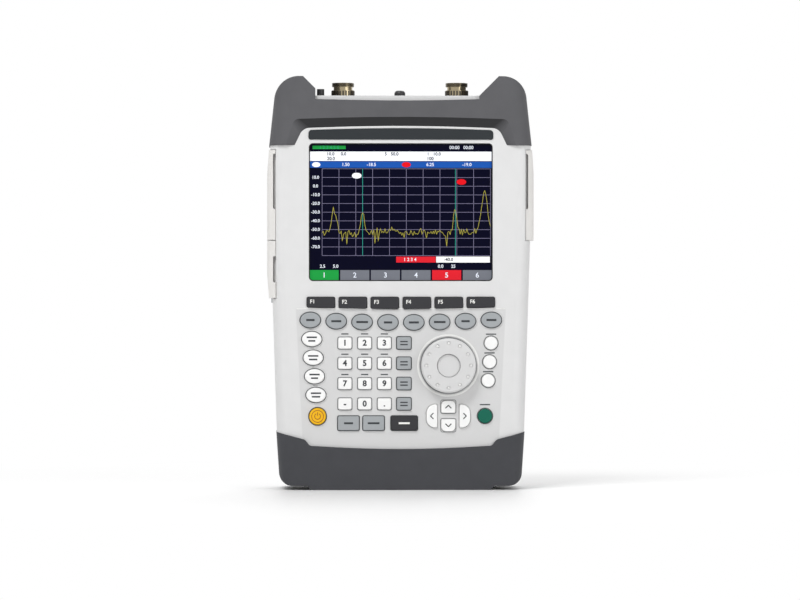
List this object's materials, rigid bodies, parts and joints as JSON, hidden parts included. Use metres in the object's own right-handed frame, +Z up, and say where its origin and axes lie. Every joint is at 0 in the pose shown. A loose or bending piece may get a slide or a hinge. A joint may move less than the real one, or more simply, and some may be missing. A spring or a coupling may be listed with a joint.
{
  "type": "antenna analyzer",
  "caption": "Handheld antenna analyzer with display, keypad, tuning knob, rubber bumpers, side flaps, top radio ports and a fold-out stand.",
  "frame": {"origin": "on the floor, under the middle of the whole instrument's box, standing on its bumper", "axes": "+Z up, -Y out of the front panel, +X to the right seen from the front"},
  "size_m": [0.194, 0.076, 0.3],
  "materials": {
    "case_abs": "fine moulded grain",
    "bumper_rubber": "matt",
    "flap_rubber": "satin",
    "plate_acrylic": "satin",
    "window_glass": "gloss",
    "display_frame": "satin",
    "dark_key_silicone": "satin",
    "grey_key_silicone": "satin",
    "white_key_silicone": "satin",
    "yellow_key_silicone": "satin",
    "green_key_silicone": "satin",
    "knob_abs": "satin",
    "mat_silicone": "matt",
    "circuit_board": "solder mask",
    "battery_wrap": "shrink film",
    "nickel_plate": "plated",
    "black_nylon": "moulded",
    "pin_steel": "bright"
  },
  "bodies": {
    "case": {"antenna_socket": "black_nylon", "battery_door": "case_abs", "battery_pack": "battery_wrap", "bottom_bumper": "bumper_rubber", "case_screws": "pin_steel", "display_module": "display_frame", "display_window": "window_glass", "encoder_body": "black_nylon", "front_housing": "case_abs", "headset_socket": "black_nylon", "hinge_pins": "pin_steel", "key_mat": "mat_silicone", "keypad_board": "circuit_board", "main_board": "circuit_board", "name_plate": "plate_acrylic", "port_1_connector": "nickel_plate", "port_2_connector": "nickel_plate", "power_socket": "black_nylon", "radio_module": "display_frame", "rear_housing": "case_abs", "top_bumper": "bumper_rubber", "usb_sockets": "nickel_plate"},
    "back_key": {"back_key": "grey_key_silicone"},
    "cancel_key": {"cancel_key": "grey_key_silicone"},
    "digit_keys": {"digit_keys": "white_key_silicone"},
    "down_key": {"down_key": "white_key_silicone"},
    "enter_key": {"enter_key": "dark_key_silicone"},
    "function_key_1": {"function_key_1": "dark_key_silicone"},
    "function_key_2": {"function_key_2": "dark_key_silicone"},
    "function_key_3": {"function_key_3": "dark_key_silicone"},
    "function_key_4": {"function_key_4": "dark_key_silicone"},
    "function_key_5": {"function_key_5": "dark_key_silicone"},
    "function_key_6": {"function_key_6": "dark_key_silicone"},
    "left_key": {"left_key": "white_key_silicone"},
    "menu_key_1": {"menu_key_1": "white_key_silicone"},
    "menu_key_2": {"menu_key_2": "white_key_silicone"},
    "menu_key_3": {"menu_key_3": "white_key_silicone"},
    "menu_key_4": {"menu_key_4": "white_key_silicone"},
    "mode_key_1": {"mode_key_1": "grey_key_silicone"},
    "mode_key_2": {"mode_key_2": "grey_key_silicone"},
    "mode_key_3": {"mode_key_3": "grey_key_silicone"},
    "mode_key_4": {"mode_key_4": "grey_key_silicone"},
    "mode_key_5": {"mode_key_5": "grey_key_silicone"},
    "mode_key_6": {"mode_key_6": "grey_key_silicone"},
    "mode_key_7": {"mode_key_7": "grey_key_silicone"},
    "mode_key_8": {"mode_key_8": "grey_key_silicone"},
    "power_key": {"power_key": "yellow_key_silicone"},
    "preset_key": {"preset_key": "green_key_silicone"},
    "right_key": {"right_key": "white_key_silicone"},
    "side_key_1": {"side_key_1": "white_key_silicone"},
    "side_key_2": {"side_key_2": "white_key_silicone"},
    "side_key_3": {"side_key_3": "white_key_silicone"},
    "unit_keys": {"unit_keys": "grey_key_silicone"},
    "up_key": {"up_key": "white_key_silicone"},
    "encoder_shaft": {"encoder_shaft": "pin_steel"},
    "tuning_knob": {"tuning_knob": "knob_abs"},
    "left_upper_flap": {"left_upper_flap": "flap_rubber"},
    "left_lower_flap": {"left_lower_flap": "flap_rubber"},
    "right_flap": {"right_flap": "flap_rubber"},
    "tilt_stand": {"tilt_stand": "case_abs"}
  },
  "joints": [
    {"name": "back_key_press", "type": "slide", "parent": "case", "child": "back_key", "axis": [0, 1, 0], "range_m": [0, 0.0012], "stiffness_N_per_m": 500},
    {"name": "cancel_key_press", "type": "slide", "parent": "case", "child": "cancel_key", "axis": [0, 1, 0], "range_m": [0, 0.0012], "stiffness_N_per_m": 500},
    {"name": "digit_keys_press", "type": "slide", "parent": "case", "child": "digit_keys", "axis": [0, 1, 0], "range_m": [0, 0.0012], "stiffness_N_per_m": 500},
    {"name": "down_key_press", "type": "slide", "parent": "case", "child": "down_key", "axis": [0, 1, 0], "range_m": [0, 0.0012], "stiffness_N_per_m": 500},
    {"name": "enter_key_press", "type": "slide", "parent": "case", "child": "enter_key", "axis": [0, 1, 0], "range_m": [0, 0.0012], "stiffness_N_per_m": 500},
    {"name": "function_key_1_press", "type": "slide", "parent": "case", "child": "function_key_1", "axis": [0, 1, 0], "range_m": [0, 0.0012], "stiffness_N_per_m": 500},
    {"name": "function_key_2_press", "type": "slide", "parent": "case", "child": "function_key_2", "axis": [0, 1, 0], "range_m": [0, 0.0012], "stiffness_N_per_m": 500},
    {"name": "function_key_3_press", "type": "slide", "parent": "case", "child": "function_key_3", "axis": [0, 1, 0], "range_m": [0, 0.0012], "stiffness_N_per_m": 500},
    {"name": "function_key_4_press", "type": "slide", "parent": "case", "child": "function_key_4", "axis": [0, 1, 0], "range_m": [0, 0.0012], "stiffness_N_per_m": 500},
    {"name": "function_key_5_press", "type": "slide", "parent": "case", "child": "function_key_5", "axis": [0, 1, 0], "range_m": [0, 0.0012], "stiffness_N_per_m": 500},
    {"name": "function_key_6_press", "type": "slide", "parent": "case", "child": "function_key_6", "axis": [0, 1, 0], "range_m": [0, 0.0012], "stiffness_N_per_m": 500},
    {"name": "left_key_press", "type": "slide", "parent": "case", "child": "left_key", "axis": [0, 1, 0], "range_m": [0, 0.0012], "stiffness_N_per_m": 500},
    {"name": "menu_key_1_press", "type": "slide", "parent": "case", "child": "menu_key_1", "axis": [0, 1, 0], "range_m": [0, 0.0012], "stiffness_N_per_m": 500},
    {"name": "menu_key_2_press", "type": "slide", "parent": "case", "child": "menu_key_2", "axis": [0, 1, 0], "range_m": [0, 0.0012], "stiffness_N_per_m": 500},
    {"name": "menu_key_3_press", "type": "slide", "parent": "case", "child": "menu_key_3", "axis": [0, 1, 0], "range_m": [0, 0.0012], "stiffness_N_per_m": 500},
    {"name": "menu_key_4_press", "type": "slide", "parent": "case", "child": "menu_key_4", "axis": [0, 1, 0], "range_m": [0, 0.0012], "stiffness_N_per_m": 500},
    {"name": "mode_key_1_press", "type": "slide", "parent": "case", "child": "mode_key_1", "axis": [0, 1, 0], "range_m": [0, 0.0012], "stiffness_N_per_m": 500},
    {"name": "mode_key_2_press", "type": "slide", "parent": "case", "child": "mode_key_2", "axis": [0, 1, 0], "range_m": [0, 0.0012], "stiffness_N_per_m": 500},
    {"name": "mode_key_3_press", "type": "slide", "parent": "case", "child": "mode_key_3", "axis": [0, 1, 0], "range_m": [0, 0.0012], "stiffness_N_per_m": 500},
    {"name": "mode_key_4_press", "type": "slide", "parent": "case", "child": "mode_key_4", "axis": [0, 1, 0], "range_m": [0, 0.0012], "stiffness_N_per_m": 500},
    {"name": "mode_key_5_press", "type": "slide", "parent": "case", "child": "mode_key_5", "axis": [0, 1, 0], "range_m": [0, 0.0012], "stiffness_N_per_m": 500},
    {"name": "mode_key_6_press", "type": "slide", "parent": "case", "child": "mode_key_6", "axis": [0, 1, 0], "range_m": [0, 0.0012], "stiffness_N_per_m": 500},
    {"name": "mode_key_7_press", "type": "slide", "parent": "case", "child": "mode_key_7", "axis": [0, 1, 0], "range_m": [0, 0.0012], "stiffness_N_per_m": 500},
    {"name": "mode_key_8_press", "type": "slide", "parent": "case", "child": "mode_key_8", "axis": [0, 1, 0], "range_m": [0, 0.0012], "stiffness_N_per_m": 500},
    {"name": "power_key_press", "type": "slide", "parent": "case", "child": "power_key", "axis": [0, 1, 0], "range_m": [0, 0.0012], "stiffness_N_per_m": 500},
    {"name": "preset_key_press", "type": "slide", "parent": "case", "child": "preset_key", "axis": [0, 1, 0], "range_m": [0, 0.0012], "stiffness_N_per_m": 500},
    {"name": "right_key_press", "type": "slide", "parent": "case", "child": "right_key", "axis": [0, 1, 0], "range_m": [0, 0.0012], "stiffness_N_per_m": 500},
    {"name": "side_key_1_press", "type": "slide", "parent": "case", "child": "side_key_1", "axis": [0, 1, 0], "range_m": [0, 0.0012], "stiffness_N_per_m": 500},
    {"name": "side_key_2_press", "type": "slide", "parent": "case", "child": "side_key_2", "axis": [0, 1, 0], "range_m": [0, 0.0012], "stiffness_N_per_m": 500},
    {"name": "side_key_3_press", "type": "slide", "parent": "case", "child": "side_key_3", "axis": [0, 1, 0], "range_m": [0, 0.0012], "stiffness_N_per_m": 500},
    {"name": "unit_keys_press", "type": "slide", "parent": "case", "child": "unit_keys", "axis": [0, 1, 0], "range_m": [0, 0.0012], "stiffness_N_per_m": 500},
    {"name": "up_key_press", "type": "slide", "parent": "case", "child": "up_key", "axis": [0, 1, 0], "range_m": [0, 0.0012], "stiffness_N_per_m": 500},
    {"name": "knob_push", "type": "slide", "parent": "case", "child": "encoder_shaft", "axis": [0, 1, 0], "range_m": [0, 0.0008], "stiffness_N_per_m": 1500},
    {"name": "knob_turn", "type": "hinge", "parent": "encoder_shaft", "child": "tuning_knob", "pos_m": [0.0344, -0.03, 0.0902], "axis": [0, -1, 0], "continuous": true},
    {"name": "left_upper_flap_open", "type": "hinge", "parent": "case", "child": "left_upper_flap", "pos_m": [-0.0932, 0.008, 0.2], "axis": [0, 0, -1], "range_deg": [0, 95]},
    {"name": "left_lower_flap_open", "type": "hinge", "parent": "case", "child": "left_lower_flap", "pos_m": [-0.0932, 0.008, 0.2], "axis": [0, 0, -1], "range_deg": [0, 95]},
    {"name": "right_flap_open", "type": "hinge", "parent": "case", "child": "right_flap", "pos_m": [0.0932, 0.008, 0.2], "axis": [0, 0, 1], "range_deg": [0, 95]},
    {"name": "stand_fold_out", "type": "hinge", "parent": "case", "child": "tilt_stand", "pos_m": [0, 0.0341, 0.236], "axis": [1, 0, 0], "range_deg": [0, 55]}
  ]
}
